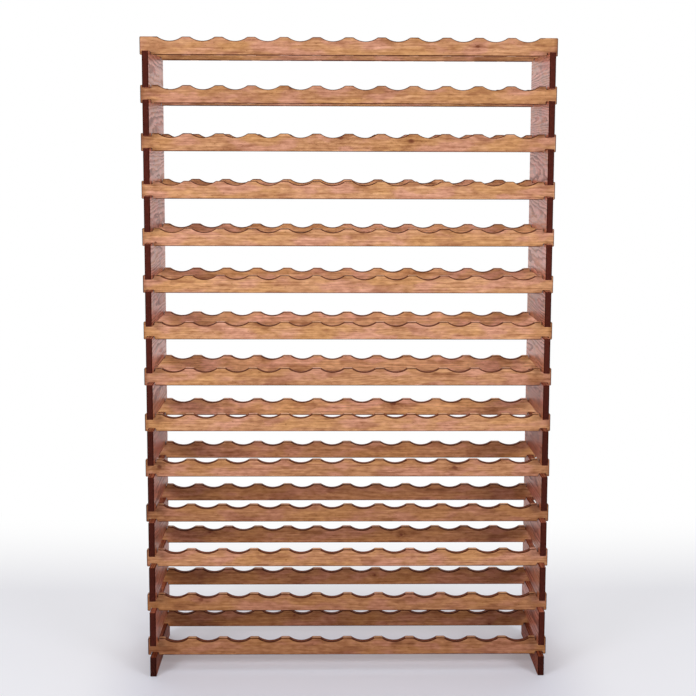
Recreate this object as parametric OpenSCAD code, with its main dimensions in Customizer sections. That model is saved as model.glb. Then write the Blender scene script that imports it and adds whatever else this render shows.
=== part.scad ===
// Stacking wine rack: scalloped rails laid across loose side boards and pegged to them with dowels.
// Origin on the floor under the middle. X runs along the rails, Y from front to back, Z up.

/* [Bottles] */
// Number of bottle cradles along each rail
cradles = 12; // [2:1:14]
// Distance between neighbouring bottles, centre to centre
cradle_pitch = 92; // [80:1:120]
// Width of a cradle where it meets the top edge of the rail
cradle_w = 69; // [40:1:76]
// Depth of a cradle below the top edge
cradle_deep = 11.5; // [5:0.5:16]

/* [Stack] */
// Number of tiers, each one pair of rails
tiers = 14; // [2:1:14]
// Height from one tier to the next
tier_pitch = 135; // [110:1:200]
// Clear height between the floor and the lowest rails
foot_clear = 50; // [20:1:150]

/* [Rails] */
// Height of a rail
rail_h = 51; // [42:1:80]
// Thickness of a rail, front to back
rail_t = 18; // [12:0.5:30]
// Distance between the front faces of a front rail and a rear rail
rail_spacing = 230; // [150:1:280]
// Length of rail that stands out beyond each side board
stub = 11.5; // [6:0.5:60]
// Flat length between a side board and the nearest cradle's share of the rail
end_land = 9; // [4:0.5:40]

/* [Notches] */
// Depth of the notches that hold the side boards
notch_deep = 9; // [4:0.5:12]
// Clearance on each side of a board at the bottom of its notch
notch_fit = 0.5; // [0.2:0.1:1.5]
// How far each wall of a notch leans out towards its mouth
notch_flare = 3; // [0:0.5:5]

/* [Side boards] */
// Thickness of the side boards
board_t = 18; // [12:0.5:24]
// Depth of the side boards, front to back
board_d = 330; // [260:1:420]

/* [Dowels] */
// Diameter of the dowels between the rails and the boards
dowel_d = 8; // [5:0.5:10]
// Depth of a dowel hole in the edge of a board
board_hole = 16.5; // [8:0.5:20]
// Wood left in a rail between its upper and its lower dowel hole
dowel_web = 4; // [2:0.5:8]
// Clearance all round a dowel in its hole
dowel_fit = 0.05; // [0.05:0.05:0.2]
// Clearance at each end of a dowel
dowel_gap = 0.5; // [0.2:0.1:0.8]

/* [Hidden] */
$fn = 48;
cut = 1; // how far a cut runs past the face that it opens
bay_w = cradles * cradle_pitch + 2 * end_land; // between the side boards
rail_l = bay_w + 2 * (board_t + stub);
board_x = (bay_w + board_t) / 2; // middle of the right-hand boards' thickness
cradle_r = (cradle_w * cradle_w / 4 + cradle_deep * cradle_deep) / (2 * cradle_deep);
rail_y = rail_spacing / 2; // middle of the rear rails' thickness
neck_h = rail_h - 2 * notch_deep; // wood left between the two notches
board_h = tier_pitch - neck_h;
foot_h = foot_clear + notch_deep;
notch_floor_w = board_t + 2 * notch_fit;
notch_mouth_w = notch_floor_w + 2 * notch_flare;
rail_hole = (neck_h - dowel_web) / 2; // depth of a dowel hole in a rail
dowel_l = rail_hole + board_hole - 2 * dowel_gap;

function two_digits(n) = n < 10 ? str("0", n) : str(n);
function numbered(name, count) = [for (n = [1:count]) str(name, two_digits(n))];
function rail_z(tier) = foot_clear + (tier - 1) * tier_pitch; // bottom edge of a tier's rails
function lower_seat(tier) = rail_z(tier) + notch_deep; // where the board below a tier ends
function upper_seat(tier) = rail_z(tier) + rail_h - notch_deep; // where the board above starts

// Outline of a notch that opens downwards, with the middle of its mouth at the origin
module notch_outline() {
    polygon([
        [-notch_mouth_w / 2, -cut], [-notch_mouth_w / 2, 0], [-notch_floor_w / 2, notch_deep],
        [notch_floor_w / 2, notch_deep], [notch_mouth_w / 2, 0], [notch_mouth_w / 2, -cut]
    ]);
}

// Front view of a rail, centred on X, with its bottom edge on the X axis
module rail_outline(top_notch) {
    first = -(cradles - 1) / 2 * cradle_pitch;
    difference() {
        translate([-rail_l / 2, 0]) square([rail_l, rail_h]);
        for (n = [0:cradles - 1])
            translate([first + n * cradle_pitch, rail_h - cradle_deep + cradle_r])
                circle(r = cradle_r, $fn = 128);
        for (side = [-1, 1]) translate([side * board_x, 0]) {
            notch_outline();
            if (top_notch) translate([0, rail_h]) mirror([0, 1]) notch_outline();
        }
    }
}

// Vertical dowel hole of the given depth, upwards from the origin
module dowel_hole(depth) {
    translate([0, 0, -cut]) cylinder(d = dowel_d + 2 * dowel_fit, h = depth + cut);
}

// One rail of a tier. The uppermost rails have no board above them, so their top edge is plain.
module rail(tier, y) {
    top_notch = tier < tiers;
    color("peru") translate([0, y, rail_z(tier)]) difference() {
        translate([0, rail_t / 2, 0]) rotate([90, 0, 0])
            linear_extrude(rail_t) rail_outline(top_notch);
        for (side = [-1, 1]) translate([side * board_x, 0, 0]) {
            translate([0, 0, notch_deep]) dowel_hole(rail_hole);
            if (top_notch)
                translate([0, 0, rail_h - notch_deep]) mirror([0, 0, 1]) dowel_hole(rail_hole);
        }
    }
}

// A board of height h standing on edge at height z, with side -1 for left and 1 for right
module side_board(side, z, h, lower_holes) {
    color("sienna") translate([side * board_x, 0, z]) difference() {
        translate([-board_t / 2, -board_d / 2, 0]) cube([board_t, board_d, h]);
        for (y = [-rail_y, rail_y]) translate([0, y, 0]) {
            translate([0, 0, h]) mirror([0, 0, 1]) dowel_hole(board_hole);
            if (lower_holes) dowel_hole(board_hole);
        }
    }
}

// The board of the bay above the given tier
module bay_board(side, tier) {
    side_board(side, upper_seat(tier), board_h, true);
}

module foot(side) {
    side_board(side, 0, foot_h, false);
}

// A dowel of the given tier, reaching up from height z
module dowel(side, y, z) {
    translate([side * board_x, y, z]) cylinder(d = dowel_d, h = dowel_l);
}

module locating_dowels() {
    color("burlywood") for (side = [-1, 1], y = [-rail_y, rail_y]) {
        for (tier = [1:tiers]) dowel(side, y, lower_seat(tier) - board_hole + dowel_gap);
        for (tier = [1:tiers - 1]) dowel(side, y, upper_seat(tier) - rail_hole + dowel_gap);
    }
}

for (tier = [1:tiers]) {
    rail(tier, -rail_y);
    rail(tier, rail_y);
}
for (bay = [1:tiers - 1]) {
    bay_board(-1, bay);
    bay_board(1, bay);
}
foot(-1);  // left_foot
foot(1);  // right_foot
locating_dowels();
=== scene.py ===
# Stacking wine rack: stained and varnished pine rails laid over loose side boards.
import math

import bpy
import numpy as np
from mathutils import Matrix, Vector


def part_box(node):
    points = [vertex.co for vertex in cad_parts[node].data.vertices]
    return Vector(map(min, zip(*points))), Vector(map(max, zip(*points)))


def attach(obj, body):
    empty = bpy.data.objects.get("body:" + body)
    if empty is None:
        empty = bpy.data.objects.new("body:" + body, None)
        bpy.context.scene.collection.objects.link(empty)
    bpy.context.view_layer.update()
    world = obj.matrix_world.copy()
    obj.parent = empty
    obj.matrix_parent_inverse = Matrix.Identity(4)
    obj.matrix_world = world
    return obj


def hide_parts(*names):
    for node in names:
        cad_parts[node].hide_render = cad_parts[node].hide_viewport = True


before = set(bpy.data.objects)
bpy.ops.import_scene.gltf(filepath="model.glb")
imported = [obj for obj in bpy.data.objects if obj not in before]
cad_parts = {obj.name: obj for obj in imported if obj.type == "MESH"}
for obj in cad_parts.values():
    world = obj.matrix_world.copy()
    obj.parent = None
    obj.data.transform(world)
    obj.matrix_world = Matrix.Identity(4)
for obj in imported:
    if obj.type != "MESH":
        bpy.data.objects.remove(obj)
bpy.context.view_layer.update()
scene = bpy.context.scene
scene.view_settings.view_transform = "Standard"
tierCount = sum(name.startswith("front_rail_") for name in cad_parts)
print("frame loaded:", len(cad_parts), "nodes,", tierCount, "tiers")


def fromRgb(red, green, blue):
    # display values of 0 to 255 as the linear colour that a shader takes
    part = np.array([red, green, blue]) / 255
    linear = np.where(part <= 0.04045, part / 12.92, ((part + 0.055) / 1.055) ** 2.4)
    return (*linear.tolist(), 1.0)


def smoothStep(low, high, value):
    # 0 below low, 1 above high, and an S-curve 3u^2 - 2u^3 between them
    u = np.clip((value - low) / (high - low), 0, 1)
    return u * u * (3 - 2 * u)


def softMinimum(first, second, blend):
    # the lower of two curves, with the corner where they cross rounded over a height of blend
    u = np.clip(0.5 + 0.5 * (second - first) / blend, 0, 1)
    return second * (1 - u) + first * u - blend * u * (1 - u)


cameraLook = {
    "place": (-0.0598, -3.8394, 1.5506),
    "pitchDown": math.radians(6.318),
    "turnRight": 0.0157,  # radians to the right of straight ahead
    "roll": 0.0031,
    "lens": 67.18,
    "sensor": 36.0,
    "shift": -0.0833,
}


def makeCamera(look):
    # axes of the view: forward from the turn and the pitch, right level, and then both are
    # rolled about forward
    turn, pitch, roll = look["turnRight"], look["pitchDown"], look["roll"]
    forward = np.array([
        math.sin(turn) * math.cos(pitch), math.cos(turn) * math.cos(pitch), -math.sin(pitch)
    ])
    right = np.array([math.cos(turn), -math.sin(turn), 0])
    down = np.cross(forward, right)
    rolledRight = math.cos(roll) * right - math.sin(roll) * down
    rolledDown = math.sin(roll) * right + math.cos(roll) * down
    data = bpy.data.cameras.new("camera")
    data.lens = look["lens"]
    data.sensor_width = look["sensor"]
    data.shift_y = look["shift"]
    data.clip_end = 60
    camera = bpy.data.objects.new("camera", data)
    turned = Matrix(np.column_stack([rolledRight, -rolledDown, -forward]).tolist()).to_4x4()
    camera.matrix_world = Matrix.Translation(look["place"]) @ turned
    scene.collection.objects.link(camera)
    scene.camera = camera


makeCamera(cameraLook)
print("camera placed")


class Wire:
    # a socket whose operators add Math nodes to its tree; without a socket it stands for the tree
    def __init__(self, tree, socket=None):
        self.tree = tree
        self.socket = socket

    def add(self, kind, settings=None, links=None, output=0):
        # any node: its settings first, then a value or a Wire for each named or numbered socket
        node = self.tree.nodes.new(kind)
        for key, value in (settings or {}).items():
            setattr(node, key, value)
        for key, value in (links or {}).items():
            if isinstance(value, Wire):
                self.tree.links.new(value.socket, node.inputs[key])
            else:
                node.inputs[key].default_value = value
        return Wire(self.tree, node.outputs[output]) if node.outputs else None

    def math(self, operation, *others):
        links = dict(enumerate((self, *others)))
        return self.add("ShaderNodeMath", {"operation": operation}, links)

    def __add__(self, other):
        return self.math("ADD", other)

    def __sub__(self, other):
        return self.math("SUBTRACT", other)

    def __rsub__(self, other):
        return self.math("MULTIPLY", -1) + other

    def __mul__(self, other):
        return self.math("MULTIPLY", other)

    def __truediv__(self, other):
        return self.math("DIVIDE", other)

    def __pow__(self, other):
        return self.math("POWER", other)

    def __abs__(self):
        return self.math("ABSOLUTE")

    __radd__ = __add__
    __rmul__ = __mul__

    def fract(self):
        return self.math("FRACT")

    def larger(self, other):
        return self.math("MAXIMUM", other)

    def step(self, low, high):
        # 0 at low, 1 at high, smooth between; low may be the larger
        links = {"Value": self, "From Min": low, "From Max": high}
        return self.add("ShaderNodeMapRange", {"interpolation_type": "SMOOTHSTEP"}, links)


def mixColour(tree, share, first, second, mode="MIX"):
    settings = {"data_type": "RGBA", "blend_type": mode}
    return tree.add("ShaderNodeMix", settings, {0: share, 6: first, 7: second}, 2)


def noise(tree, place, detail):
    links = {"Vector": place, "Scale": 1.0, "Detail": detail, "Roughness": 0.5}
    return tree.add("ShaderNodeTexNoise", {}, links)


def combine(tree, x, y, z):
    return tree.add("ShaderNodeCombineXYZ", {}, {0: x, 1: y, 2: z})


def separate(tree, vector):
    return [tree.add("ShaderNodeSeparateXYZ", {}, {0: vector}, n) for n in range(3)]


def newMaterial(name):
    material = bpy.data.materials.new(name)
    material.use_nodes = True
    material.node_tree.nodes.clear()
    return material, Wire(material.node_tree)


# The two stained pines. The colours are the young and the old wood of a ring, three tints that
# the stain took in places, the knots, the end grain and the sawn walls of the cradles, which are
# partly their own darker colour and partly painted shade.
railPine = {
    "name": "railPine",
    "grainAxis": 0,  # the rails' grain runs along X
    "early": fromRgb(210, 155, 112),
    "late": fromRgb(172, 114, 76),
    "blush": fromRgb(213, 153, 127),
    "honey": fromRgb(207, 152, 99),
    "dusk": fromRgb(158, 101, 67),
    "knot": fromRgb(113, 58, 37),
    "endGrain": fromRgb(108, 51, 38),
    "sawn": fromRgb(143, 71, 46),
    "ringWidth": 0.0034,  # metres
    "ringShare": 0.42,  # how strongly the rings show
    "figure": 0.0,  # how much more the late wood shines
    "edgeShade": 0.85,  # painted shade: how dark the eased edges are drawn
    "roughness": 0.45,
    "coat": 0.15,  # varnish
    "coatFade": 0.0,  # painted shade in the reflection: how much less varnish sheen a darker piece shows
    "coatRoughness": 0.3,
}

boardPine = {
    "name": "boardPine",
    "grainAxis": 1,  # the boards' grain runs from front to back
    "early": fromRgb(205, 119, 88),
    "late": fromRgb(138, 69, 50),
    "blush": fromRgb(198, 113, 92),
    "honey": fromRgb(193, 119, 80),
    "dusk": fromRgb(138, 76, 57),
    "knot": fromRgb(83, 41, 30),
    "endGrain": fromRgb(80, 30, 21),
    "sawn": fromRgb(136, 73, 48),
    "ringWidth": 0.006,
    "ringShare": 1.0,
    "figure": -0.35,
    "edgeShade": 0.6,
    "roughness": 0.5,
    "coat": 0.78,
    "coatFade": 1.9,
    "coatRoughness": 0.32,
}


# How the log grew and took up the stain, the same for both pines. Lengths are in metres.
logLook = {
    "knotSpacing": (0.21, 0.12),  # along and across the grain
    "knotStretch": 0.7,  # below 1, a knot is longer along the grain
    "knotWobble": 0.009,
    "knotSize": (0.002, 0.004),  # least radius, and the spread above it
    "knotLot": (0.66, 0.68),  # where the draw for a place starts to give a knot
    "knotEdge": (1.6, 0.5),  # from clear wood to full knot, in knot radii
    "haloEdge": (6.5, 1.0),  # the same for the bent and darker wood around it
    "heartSway": (0.05, 0.06),  # how far the heart wanders, across and through the plank
    "ringBulge": 0.005,  # at a knot
    "ringRipple": 1.8,
    "lateRise": (0.25, 0.86),  # share of a ring where the late wood comes in
    "lateFall": (1.0, 0.92),  # and where it ends
    # where each mark of the stain starts, where it is full, and its strength there
    "blush": (0.47, 0.6, 0.8),
    "honey": (0.5, 0.6, 0.75),
    "dusk": (0.54, 0.68, 0.55),
    "fleck": (0.66, 0.76, 0.35),
    "streakDepth": 1.1,
    "fibreDepth": 0.5,
    "mottleDepth": 0.9,
    "haloDepth": 0.25,
    "knotShare": 0.85,
    "sawnShare": 0.85,
    "endFacing": (0.35, 0.8),  # how squarely a face cuts the grain to count as its end
    "endRings": 0.4,
    "stainFall": (1.3, 1.58),  # a darker stain is redder: green and blue fall faster than red
    "edgeDull": 0.85,  # varnish that's gone from the sawn walls and the eased edges
    "streakGloss": 0.18,
    "endRough": 0.2,
    "figureRough": 0.3,
    "sawnRough": 0.3,
    "bumpStrength": 0.22,
    "bumpDepth": 0.0004,
}

# noises that run with the grain: waves per metre along and across it, detail, the axis along
# which a piece's own seed moves it, and how many times the seed
grainWaves = {
    "ripple": (11, 55, 3.0, 2, 1),
    "fibre": (30, 1100, 2.0, 2, 1),
    "streak": (9, 210, 4.0, 2, 1),
    "mottle": (45, 120, 3.0, 1, 1),
    "blotch": (10, 26, 4.0, 0, 1),
    "patch": (4, 12, 3.0, 0, 2),
    "cloud": (13, 34, 3.0, 0, -1),
    "fleck": (130, 420, 1.0, 1, 1),
}


def readMark(tree, name):
    return tree.add("ShaderNodeAttribute", {"attribute_name": name}, {}, 2)


def readPlace(tree, name):
    return separate(tree, tree.add("ShaderNodeAttribute", {"attribute_name": name}, {}, 1))


def grainNoise(tree, plank, seed, waves):
    long, wide, detail, moved, times = waves
    parts = [place * wave for place, wave in zip(plank, (long, wide, wide))]
    parts[moved] = parts[moved] + seed * times
    return noise(tree, combine(tree, *parts), detail)


def stained(tree, shade, colour, look):
    green, blue = look["stainFall"]
    filtered = combine(tree, shade, shade ** green, shade ** blue)
    return mixColour(tree, 1.0, colour, filtered, "MULTIPLY")


def knots(tree, plank, seed, look):
    # Scattered centres on the plank's face, of which a few are used. How far a point is from the
    # nearest, in that knot's radii, gives the knot itself and the wood around it.
    along, across = plank[:2]
    cellLong, cellWide = look["knotSpacing"]
    # the seed's multiples only move the pattern from one piece to the next
    place = combine(tree, along / cellLong + seed * 3.7, across / cellWide + seed * 1.9, 0.0)
    cell = {"voronoi_dimensions": "2D", "feature": "F1"}
    links = {"Vector": place, "Scale": 1.0, "Randomness": 0.9}
    chance = separate(tree, tree.add("ShaderNodeTexVoronoi", cell, links, 1))
    centre = separate(tree, tree.add("ShaderNodeTexVoronoi", cell, links, 2))
    here = separate(tree, place)
    offX = (here[0] - centre[0]) * cellLong
    offY = (here[1] - centre[1]) * cellWide
    wobble = noise(tree, combine(tree, along * 110, across * 110, seed), 3.0) - 0.5
    away = ((offX * look["knotStretch"]) ** 2 + offY ** 2) ** 0.5 + wobble * look["knotWobble"]
    least, spread = look["knotSize"]
    radii = away / (chance[1] * spread + least)
    used = chance[0].step(*look["knotLot"])
    return radii.step(*look["knotEdge"]) * used, radii.step(*look["haloEdge"]) * used


def lateRings(tree, plank, log, ripple, halo, wood, look):
    # Growth rings are the distance from the heart, which wanders along the plank, and they bulge
    # round the knots. The share of a ring that's passed says where its dark late wood is.
    along, across, through = plank
    seed, heartAcross, heartDeep = log
    slow = noise(tree, combine(tree, along * 1.7, seed * 5.1, 0.3), 1.5) - 0.5
    slower = noise(tree, combine(tree, along * 1.1, seed * 7.7, 4.1), 1.0) - 0.5
    sideways = across - heartAcross - slow * look["heartSway"][0]
    inwards = through - heartDeep - slower * look["heartSway"][1]
    radius = (sideways ** 2 + inwards ** 2) ** 0.5 + halo * look["ringBulge"]
    turn = (radius / wood["ringWidth"] + ripple * look["ringRipple"]).fract()
    return turn.step(*look["lateRise"]) * turn.step(*look["lateFall"])


def pineMaterial(wood, look):
    # a plank cut from a log: each piece carries its place in the plank and the plank's in the log
    material, tree = newMaterial(wood["name"])
    plank, log = readPlace(tree, "plankPlace"), readPlace(tree, "logPlace")
    wave = {name: grainNoise(tree, plank, log[0], waves) for name, waves in grainWaves.items()}
    inKnot, halo = knots(tree, plank, log[0], look)
    lateWood = lateRings(tree, plank, log, wave["ripple"], halo, wood, look)
    edge, sawn, tone = (readMark(tree, mark) for mark in ("edgeShare", "sawnShare", "tone"))

    # the young wood's colour, the late rings, and the tints where the stain took up unevenly
    colour = mixColour(tree, lateWood * wood["ringShare"], wood["early"], wood["late"])
    for tint, name in (("blush", "blotch"), ("honey", "patch"), ("dusk", "cloud")):
        start, full, strength = look[tint]
        colour = mixColour(tree, wave[name].step(start, full) * strength, colour, wood[tint])
    shade = 1.0 - halo * look["haloDepth"]
    for name in ("streak", "fibre", "mottle"):
        shade = shade + (wave[name] - 0.5) * look[name + "Depth"]
    start, full, strength = look["fleck"]
    # the tone also holds painted shade on the lower tiers and painted light on the narrow faces
    shade = (shade - wave["fleck"].step(start, full) * strength) * tone
    colour = stained(tree, shade, colour, look)
    colour = mixColour(tree, inKnot * look["knotShare"], colour, wood["knot"])

    # sawn walls (partly painted shade), then end grain, then painted shade on the eased edges
    # over all
    normal = tree.add("ShaderNodeNewGeometry", {}, {}, 1)
    facing = abs(separate(tree, normal)[wood["grainAxis"]]).step(*look["endFacing"])
    # the sawn walls' darker colour: partly the cut's own colour, partly painted shade in the
    # cradles
    sawnShade = stained(tree, shade, wood["sawn"], look)
    colour = mixColour(tree, sawn * look["sawnShare"], colour, sawnShade)
    endShade = stained(tree, shade, wood["endGrain"], look)
    endShade = mixColour(tree, lateWood * look["endRings"], endShade, wood["knot"])
    colour = mixColour(tree, facing, colour, endShade)
    # painted shade: the eased edges drawn darker
    colour = stained(tree, 1 - edge * wood["edgeShade"], colour, look)

    # fibres, streaks and late wood stand a little proud, and knots are sunk
    relief = wave["fibre"] * 0.3 + wave["streak"] * 0.3 + lateWood * 0.4 - inKnot * 0.3
    bump = tree.add("ShaderNodeBump", {}, {
        "Strength": look["bumpStrength"], "Distance": look["bumpDepth"], "Height": relief,
    })
    dull = sawn.larger(edge) * look["edgeDull"]
    rough = (wave["streak"] - 0.5) * look["streakGloss"] + wood["roughness"]
    rough = rough + facing * look["endRough"] + dull * look["sawnRough"]
    rough = rough - lateWood * wood["figure"] * look["figureRough"]
    coat = (1 - facing) * (1 - dull) * (lateWood * wood["figure"] + wood["coat"])
    # painted shade in the reflection: darker pieces, the lower bays among them, get less varnish
    # sheen
    coat = coat * (1 - (1 - tone) * wood["coatFade"])
    shader = tree.add("ShaderNodeBsdfPrincipled", {}, {
        "Base Color": colour, "Roughness": rough, "Normal": bump, "IOR": 1.45,
        "Specular IOR Level": 0.1, "Coat Weight": coat, "Coat Roughness": wood["coatRoughness"],
    })
    tree.add("ShaderNodeOutputMaterial", {}, {0: shader})
    return material


def insetLoop(outline, inset):
    # every point of a closed clockwise outline moved inwards along its own normal, which is a
    # quarter turn from the direction between its neighbours
    tangent = np.roll(outline, -1, axis=0) - np.roll(outline, 1, axis=0)
    tangent /= np.linalg.norm(tangent, axis=1, keepdims=True)
    inward = np.column_stack([tangent[:, 1], -tangent[:, 0]])
    return outline + inward * np.reshape(inset, (-1, 1))


def easedSlab(upper, lower, thickness, ease, sawn):
    # A slab seen from the front, between an upper and a lower curve with as many points each.
    # Rings of the outline, inset by a quarter circle of radius ease at both faces, run from the
    # front face to the back one, and each face is a flat strip between the curves. Points also
    # carry how much of an eased edge and how much of a sawn surface they're on.
    outline = np.concatenate([upper, lower[::-1]])
    count, half = len(outline), thickness / 2
    guardInset, guardDepth = 0.0004, 0.0008  # rings that keep the painted edge shade off the flat faces
    arc = np.linspace(0, math.pi / 2, 4)
    widest = ease.max()
    inset = np.concatenate([[widest + guardInset], widest * (1 - np.sin(arc)), [0]])
    level = np.concatenate([[0], widest * (1 - np.cos(arc)), [widest + guardDepth]])
    # ring by ring from a face inwards: how much painted edge shade and varnish wear it gets, and
    # how much it belongs to the side
    edge = np.array([0.0, 0.8, 1.0, 1.0, 0.7, 0.1])
    side = np.array([0.0, 0.0, 0.3, 0.7, 1.0, 1.0])
    inset = np.concatenate([inset, inset[::-1]])
    level = np.concatenate([level - half, (half - level)[::-1]])
    share = np.concatenate([ease, ease[::-1]]) / widest
    rings = []
    for ringInset, ringLevel in zip(inset, level):
        loop = insetLoop(outline, ringInset * share)
        rings.append(np.column_stack([loop[:, 0], np.full(count, ringLevel), loop[:, 1]]))
    points = np.concatenate(rings)
    edge = np.repeat(np.concatenate([edge, edge[::-1]]), count)
    side = np.repeat(np.concatenate([side, side[::-1]]), count)
    sawnShare = side * np.tile(np.concatenate([sawn, sawn[::-1]]), len(rings))
    ring = np.arange(len(rings) - 1).reshape(-1, 1) * count
    here = np.arange(count).reshape(1, -1)
    after = (here + 1) % count
    sides = np.stack([ring + here, ring + after, ring + count + after, ring + count + here], -1)
    sides = sides.reshape(-1, 4)
    top = np.arange(count // 2 - 1)
    bottom = count - 1 - top
    front = np.stack([top, bottom, bottom - 1, top + 1], -1)
    back = front[:, ::-1] + (len(rings) - 1) * count
    smooth = np.arange(len(sides) + 2 * len(front)) < len(sides)
    # the third mark starts as the share of the narrow faces that get painted light, away from the
    # sawn walls
    marks = {"edgeShare": edge, "sawnShare": sawnShare, "tone": side * (1 - sawnShare)}
    return points, np.concatenate([sides, front, back]), smooth, marks


def addMesh(name, points, quads, smooth, material, attributes):
    mesh = bpy.data.meshes.new(name)
    mesh.vertices.add(len(points))
    mesh.vertices.foreach_set("co", points.astype(np.float32).ravel())
    mesh.loops.add(quads.size)
    mesh.loops.foreach_set("vertex_index", quads.astype(np.int32).ravel())
    mesh.polygons.add(len(quads))
    mesh.polygons.foreach_set("loop_start", np.arange(0, quads.size, 4, dtype=np.int32))
    mesh.polygons.foreach_set("use_smooth", smooth)
    for key, values in attributes.items():
        values = np.asarray(values, dtype=np.float32)
        kind, field = ("FLOAT_VECTOR", "vector") if values.ndim == 2 else ("FLOAT", "value")
        layer = mesh.attributes.new(key, kind, "POINT")
        layer.data.foreach_set(field, values.ravel())
    mesh.update(calc_edges=True)
    mesh.validate()
    mesh.materials.append(material)
    piece = bpy.data.objects.new(name, mesh)
    scene.collection.objects.link(piece)
    return piece


# a plank's seed, and how far the log's heart is from it across and behind its face, in metres
heartRange = ((0, 40), (-0.05, 0.05), (0.02, 0.09))


def finishPiece(node, slab, plank, place, material, look):
    # a piece's own place in the log and its tone, which holds painted shade from the tier lists,
    # drawn once for the whole piece
    points, quads, smooth, marks = slab
    dice = look["dice"]
    heart = [dice.uniform(low, high) for low, high in heartRange]
    tone = look["tone"] * dice.uniform(*look["toneRange"])
    darker = 1 - marks.pop("darker", 0)
    # painted light: the narrow faces drawn paler, on top of the tone with its painted shade
    marks["tone"] = tone * darker * (1 + marks["tone"] * look["paleEdge"])
    attributes = {"plankPlace": plank, "logPlace": np.tile(heart, (len(points), 1)), **marks}
    piece = addMesh("wood_" + node, points + place, quads, smooth, material, attributes)
    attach(piece, "root")
    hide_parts(node)


railLook = {
    "cradles": 12,
    "pitch": 0.092,  # metres, as are all lengths here
    "wide": 0.069,
    "deep": 0.0115,
    "notchFit": 0.0005,  # play between a notch's wall and the board
    "notchFlare": 0.003,  # how much wider its mouth is
    "crestRound": 0.0007,  # height of the rounding where a cradle meets the flat top
    "cornerRound": 0.003,
    "ease": 0.0019,
    "endStain": (0.0, 0.4),  # how much darker the ends took the stain, least and most
    "notchEase": 0.3,  # share of the ease that's left at the notches
    "paleEdge": 0.7,  # painted light: how much paler the narrow faces, the crest tops among them, are drawn
    "toneRange": (0.99, 1.01),
    # tone of the front and the rear rail of every tier, from the floor up: partly each rail's own
    # tone, partly painted shade that darkens the lower tiers
    "frontTones": (
        0.58, 0.62, 0.8, 0.61, 0.76, 0.92, 0.87, 0.95, 0.95, 0.95, 0.96, 0.88, 0.87, 0.91,
    ),
    "rearTones": (
        0.57, 0.6, 0.67, 0.63, 0.77, 1.04, 1.05, 1.08, 1.05, 1.05, 1.05, 1.0, 1.0, 1.0,
    ),
    "wear": (0.12, 8, 14),  # share by which the ease varies, and its waves in radians per metre
    "notchSpread": (0.006, 0.004),  # how far from a notch the ease is less, and how it fades
    "sawnFrom": (0.0002, 0.0012),  # depth below the top where the sawn wall starts and is full
    "endReach": (0.016, 0.002),  # distance from the end where the darker stain starts, is full
    "seedStep": 100,
}


def notchShare(x, middle, halfFloor, flare):
    # 1 on a notch's floor, 0 beyond its mouth, and a smooth slope on the wall between
    return smoothStep(halfFloor + flare, halfFloor, np.abs(np.abs(x) - middle))


def railStations(halfLength, middle, halfMouth):
    # places along a rail, in metres: evenly spread, and closer together at the notches
    coarse, fine, gap = 0.0025, 0.0004, 0.001
    even = np.linspace(-halfLength, halfLength, 2 * round(halfLength / coarse) + 1)
    wall = np.linspace(-halfMouth, halfMouth, 2 * round(halfMouth / fine) + 1)
    far = even[np.abs(np.abs(even) - middle) > halfMouth + gap]
    return np.sort(np.concatenate([far, wall - middle, wall + middle]))


def cornerArc(centreX, centreZ, radius, start, end):
    angle = np.radians(np.linspace(start, end, 5))
    return np.column_stack([centreX + radius * np.cos(angle), centreZ + radius * np.sin(angle)])


def roundedEnds(x, top, low, height, radius):
    # the upper and the lower curve of a slab, each carried on round the corners by a quarter
    # circle, with its centre one radius in from the slab's end
    half = x.max()
    upper = np.concatenate([
        cornerArc(-half, height - radius, radius, 180, 90)[:-1],
        np.column_stack([x, top]),
        cornerArc(half, height - radius, radius, 90, 0)[1:],
    ])
    lower = np.concatenate([
        cornerArc(-half, radius, radius, 180, 270)[:-1],
        np.column_stack([x, low]),
        cornerArc(half, radius, radius, 270, 360)[1:],
    ])
    return upper, lower


def railCurves(look, length, height, notch, boardMiddle, boardHalf, topNotch):
    # Upper curve: the lower of the flat edge and the cradles' circles, less the notches. A
    # circle's radius follows from the width and the depth of the cradle that it cuts.
    deep, wide = look["deep"], look["wide"]
    bow = (wide ** 2 / 4 + deep ** 2) / (2 * deep)
    rounded = look["cornerRound"]
    halfFloor = boardHalf + look["notchFit"]
    x = railStations(length / 2 - rounded, boardMiddle, halfFloor + look["notchFlare"])
    halfCount = look["cradles"] / 2
    order = np.clip(np.round(x / look["pitch"] - 0.5), -halfCount, halfCount - 1)
    # distance from the middle of the nearest cradle, kept short of the circle's own radius
    off = np.clip(np.abs(x - (order + 0.5) * look["pitch"]), 0, bow * 0.95)
    cradle = height - deep + bow - np.sqrt(bow ** 2 - off ** 2)
    walls = notchShare(x, boardMiddle, halfFloor, look["notchFlare"])
    top = softMinimum(np.full_like(x, height), cradle, look["crestRound"])
    top = top - notch * walls * topNotch
    return roundedEnds(x, top, notch * walls, height, rounded)


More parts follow.
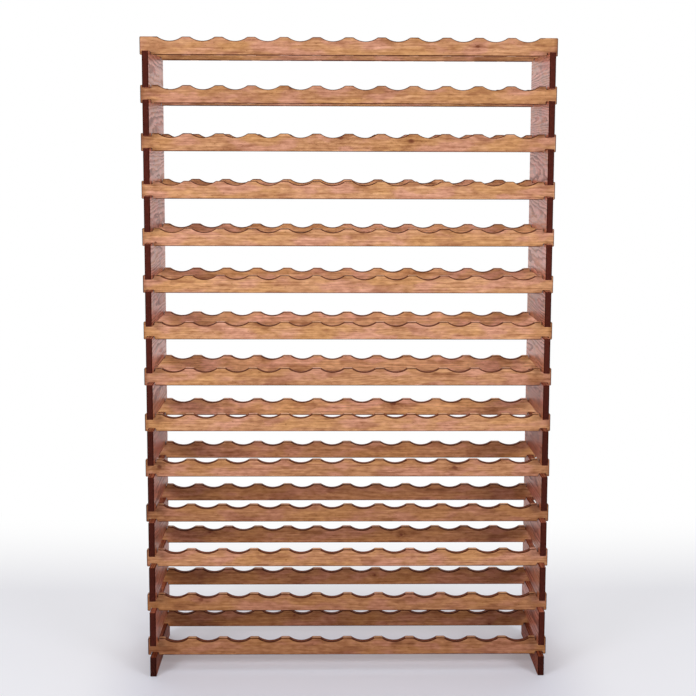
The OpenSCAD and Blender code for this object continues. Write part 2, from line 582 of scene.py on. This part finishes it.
def makeRail(node, board, topNotch, look, material):
    low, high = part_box(node)
    boardLow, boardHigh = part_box(board)
    length, height = high.x - low.x, high.z - low.z
    notch = boardHigh.z - low.z
    boardMiddle = (boardLow.x + boardHigh.x) / 2
    boardHalf = (boardHigh.x - boardLow.x) / 2
    upper, lower = railCurves(look, length, height, notch, boardMiddle, boardHalf, topNotch)
    along, dice = upper[:, 0], look["dice"]
    spread, fade = look["notchSpread"]
    reach = boardHalf + spread
    nearNotch = smoothStep(reach + fade, reach, np.abs(np.abs(along) - boardMiddle))
    depth, slowest, quickest = look["wear"]
    wear = 1 + depth * np.sin(along * dice.uniform(slowest, quickest) + dice.uniform(0, 6))
    ease = look["ease"] * wear * (1 - nearNotch * (1 - look["notchEase"]))
    inside = np.abs(along) < length / 2 - look["cornerRound"]
    sawn = smoothStep(*look["sawnFrom"], height - upper[:, 1]) * inside
    slab = easedSlab(upper, lower, high.y - low.y, ease, sawn)
    start, full = look["endReach"]
    ends = smoothStep(length / 2 - start, length / 2 - full, np.abs(slab[0][:, 0]))
    leftEnd, rightEnd = dice.uniform(*look["endStain"], 2)
    slab[3]["darker"] = ends * np.where(slab[0][:, 0] < 0, leftEnd, rightEnd)
    plank = (slab[0] - [0, 0, height / 2])[:, [0, 2, 1]]
    place = [0, (low.y + high.y) / 2, low.z]
    finishPiece(node, slab, plank, place, material, look)


boardLook = {
    "cornerRound": 0.003,
    "ease": 0.0015,
    "wear": (0.2, 20, 40),  # as for the rails
    "stations": 67,  # points along an edge
    "firstSeed": 5000,
    # tone of the feet, and of the boards of every bay, from the floor up: partly each board's own
    # tone, partly painted shade that darkens the feet and the lowest bays
    "footTone": 0.4,
    "tones": (0.74, 0.7, 0.7, 0.7, 0.72, 0.8, 0.9, 0.96, 1.0, 1.0, 1.0, 1.0, 1.0),
    "paleEdge": 0.0,
    "toneRange": (0.86, 1.1),  # chance spread of the tone from board to board
}


def makeBoard(node, look, material):
    # the slab is laid out with its long side along X, then turned a quarter round the vertical
    low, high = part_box(node)
    depth, height = high.y - low.y, high.z - low.z
    rounded, dice = look["cornerRound"], look["dice"]
    half = depth / 2 - rounded
    along = np.linspace(-half, half, look["stations"])
    upper, lower = roundedEnds(along, np.full_like(along, height), along * 0, height, rounded)
    share, slowest, quickest = look["wear"]
    wear = 1 + share * np.sin(upper[:, 0] * dice.uniform(slowest, quickest) + dice.uniform(0, 6))
    ease = look["ease"] * wear
    points, quads, smooth, marks = easedSlab(upper, lower, high.x - low.x, ease, ease * 0)
    plank = (points - [0, 0, height / 2])[:, [0, 2, 1]]
    turned = np.column_stack([-points[:, 1], points[:, 0], points[:, 2]])
    place = [(low.x + high.x) / 2, (low.y + high.y) / 2, low.z]
    slab = (turned, quads, smooth, marks)
    finishPiece(node, slab, plank, place, material, look)


railWood = pineMaterial(railPine, logLook)
boardWood = pineMaterial(boardPine, logLook)
for tier in range(1, tierCount + 1):
    for row, side in enumerate(("front", "rear")):
        dice = np.random.default_rng(railLook["seedStep"] * tier + row)
        # each rail's tone, with painted shade on the lower tiers
        look = {**railLook, "dice": dice, "tone": railLook[side + "Tones"][tier - 1]}
        below = "right_foot" if tier == 1 else f"right_board_{tier - 1:02d}"
        makeRail(f"{side}_rail_{tier:02d}", below, tier < tierCount, look, railWood)
print("rails made:", 2 * tierCount)

boardNames = [name for name in sorted(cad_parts) if "board" in name or "foot" in name]
for order, name in enumerate(boardNames):
    dice = np.random.default_rng(boardLook["firstSeed"] + order)
    # each board's tone, with painted shade on the feet and the lowest bays
    tone = boardLook["footTone"] if "foot" in name else boardLook["tones"][int(name[-2:]) - 1]
    makeBoard(name, {**boardLook, "dice": dice, "tone": tone}, boardWood)
print("boards made:", len(boardNames))


dowelLook = {"wood": fromRgb(214, 184, 142), "grain": fromRgb(186, 150, 106), "roughness": 0.6}


def dowelMaterial(look):
    # bare beech: fine flecks that run up the dowel
    material, tree = newMaterial("dowelBeech")
    place = tree.add("ShaderNodeTexCoord", {}, {}, 3)
    x, y, z = separate(tree, place)
    fleck = noise(tree, combine(tree, x * 1600, y * 1600, z * 160), 2.0)
    colour = mixColour(tree, fleck.step(0.4, 0.65), look["wood"], look["grain"])
    bump = tree.add("ShaderNodeBump", {}, {"Strength": 0.2, "Distance": 0.0002, "Height": fleck})
    shader = tree.add("ShaderNodeBsdfPrincipled", {}, {
        "Base Color": colour, "Roughness": look["roughness"], "Normal": bump,
    })
    tree.add("ShaderNodeOutputMaterial", {}, {0: shader})
    return material


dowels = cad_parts["locating_dowels"]
dowels.data.materials.clear()
dowels.data.materials.append(dowelMaterial(dowelLook))
print("dowels finished")


stageLook = {
    "front": -6.0,  # where the floor starts and where it begins to bend up, along Y
    "back": 3.2,
    "wide": 9.0,  # half of the width
    "bend": 1.6,  # radius
    "high": 7.0,
    "floor": fromRgb(232, 233, 246),
    "whiteBehind": (-0.35, 1.5),  # where along Y the floor turns into the lit backdrop
    "whiteAround": (1.6, 3.2),  # and how far from the middle for the other views
    "whiteAside": (0.45, 0.8),  # painted light: the floor glows paler at both sides, away from the shade under the rack
    "asideShare": 0.5,
    "veil": 0.12,  # least share of white that the camera sees in the paper
    "bounce": 1.2,  # light that the backdrop gives the room
}


def makeStage(look):
    # a floor that bends up into a wall: a profile in Y and Z carried along X
    angle = np.linspace(0, math.pi / 2, 17)
    bend = look["bend"]
    profile = np.concatenate([
        [[look["front"], 0]],
        np.column_stack([look["back"] + bend * np.sin(angle), bend * (1 - np.cos(angle))]),
        [[look["back"] + bend, look["high"]]],
    ])
    side = np.array([-look["wide"], look["wide"]])
    points = np.stack([
        np.tile(side, (len(profile), 1)),
        np.repeat(profile[:, :1], 2, axis=1),
        np.repeat(profile[:, 1:], 2, axis=1),
    ], -1).reshape(-1, 3)
    row = np.arange(len(profile) - 1) * 2
    quads = np.stack([row, row + 1, row + 3, row + 2], -1)
    material, tree = newMaterial("studioPaper")
    place = tree.add("ShaderNodeTexCoord", {}, {}, 3)
    x, y = separate(tree, place)[:2]
    behind = y.step(*look["whiteBehind"])
    around = ((x ** 2 + y ** 2) ** 0.5).step(*look["whiteAround"])
    paper = tree.add("ShaderNodeBsdfDiffuse", {}, {"Color": look["floor"]})
    seen = tree.add("ShaderNodeLightPath", {}, {}, 0)
    glossy = tree.add("ShaderNodeLightPath", {}, {}, 3)
    shown = seen.larger(glossy)
    glow = tree.add("ShaderNodeEmission", {}, {"Color": (1, 1, 1, 1), "Strength": 1.0})
    # painted light: more white glow on the floor at both sides
    paintedFloorLight = abs(x).step(*look["whiteAside"]) * look["asideShare"]
    white = behind.larger(around.larger(paintedFloorLight).larger(look["veil"]) * seen)
    share = white * shown + behind * (1 - shown) * look["bounce"]
    shader = tree.add("ShaderNodeMixShader", {}, {0: share, 1: paper, 2: glow})
    tree.add("ShaderNodeOutputMaterial", {}, {0: shader})
    smooth = np.ones(len(quads), dtype=bool)
    stage = addMesh("studio_floor", points, quads, smooth, material, {})


lightLook = {
    "world": 0.13,  # even light from all round
    "mirrored": 0.05,  # what the varnish mirrors where no backdrop is
    "left": {"place": (-2.3, -2.9, 1.7), "aim": (0, 0, 1.2), "size": (1.3, 1.3), "watts": 62},
    "right": {"place": (2.3, -2.9, 1.6), "aim": (0, 0, 1.1), "size": (1.3, 1.3), "watts": 54},
    "top": {"place": (0, -0.5, 4.3), "aim": (0, 0.3, 0), "size": (3.6, 2.8), "watts": 52},
}


def makeLight(name, look):
    data = bpy.data.lights.new(name, "AREA")
    data.shape = "RECTANGLE"
    data.size, data.size_y = look["size"]
    data.energy = look["watts"]
    lamp = bpy.data.objects.new(name, data)
    back = np.array(look["place"]) - np.array(look["aim"])
    back = back / np.linalg.norm(back)
    right = np.cross([0, 0, 1], back)
    right = right / np.linalg.norm(right)
    turned = Matrix(np.column_stack([right, np.cross(back, right), back]).tolist()).to_4x4()
    lamp.matrix_world = Matrix.Translation(look["place"]) @ turned
    scene.collection.objects.link(lamp)


def makeWorld(look):
    # white to the camera, dim in reflections and a plain light on everything else
    world = bpy.data.worlds.new("studio")
    world.use_nodes = True
    world.node_tree.nodes.clear()
    tree = Wire(world.node_tree)
    white = (1, 1, 1, 1)
    light, mirrored, shown = (
        tree.add("ShaderNodeBackground", {}, {"Color": white, "Strength": strength})
        for strength in (look["world"], look["mirrored"], 1.0)
    )
    seen = tree.add("ShaderNodeLightPath", {}, {}, 0)
    glossy = tree.add("ShaderNodeLightPath", {}, {}, 3)
    shader = tree.add("ShaderNodeMixShader", {}, {0: glossy, 1: light, 2: mirrored})
    shader = tree.add("ShaderNodeMixShader", {}, {0: seen, 1: shader, 2: shown})
    tree.add("ShaderNodeOutputWorld", {}, {0: shader})
    scene.world = world


makeStage(stageLook)
makeWorld(lightLook)
for lamp in ("left", "right", "top"):
    makeLight(lamp + "_light", lightLook[lamp])
print("stage and lights made")
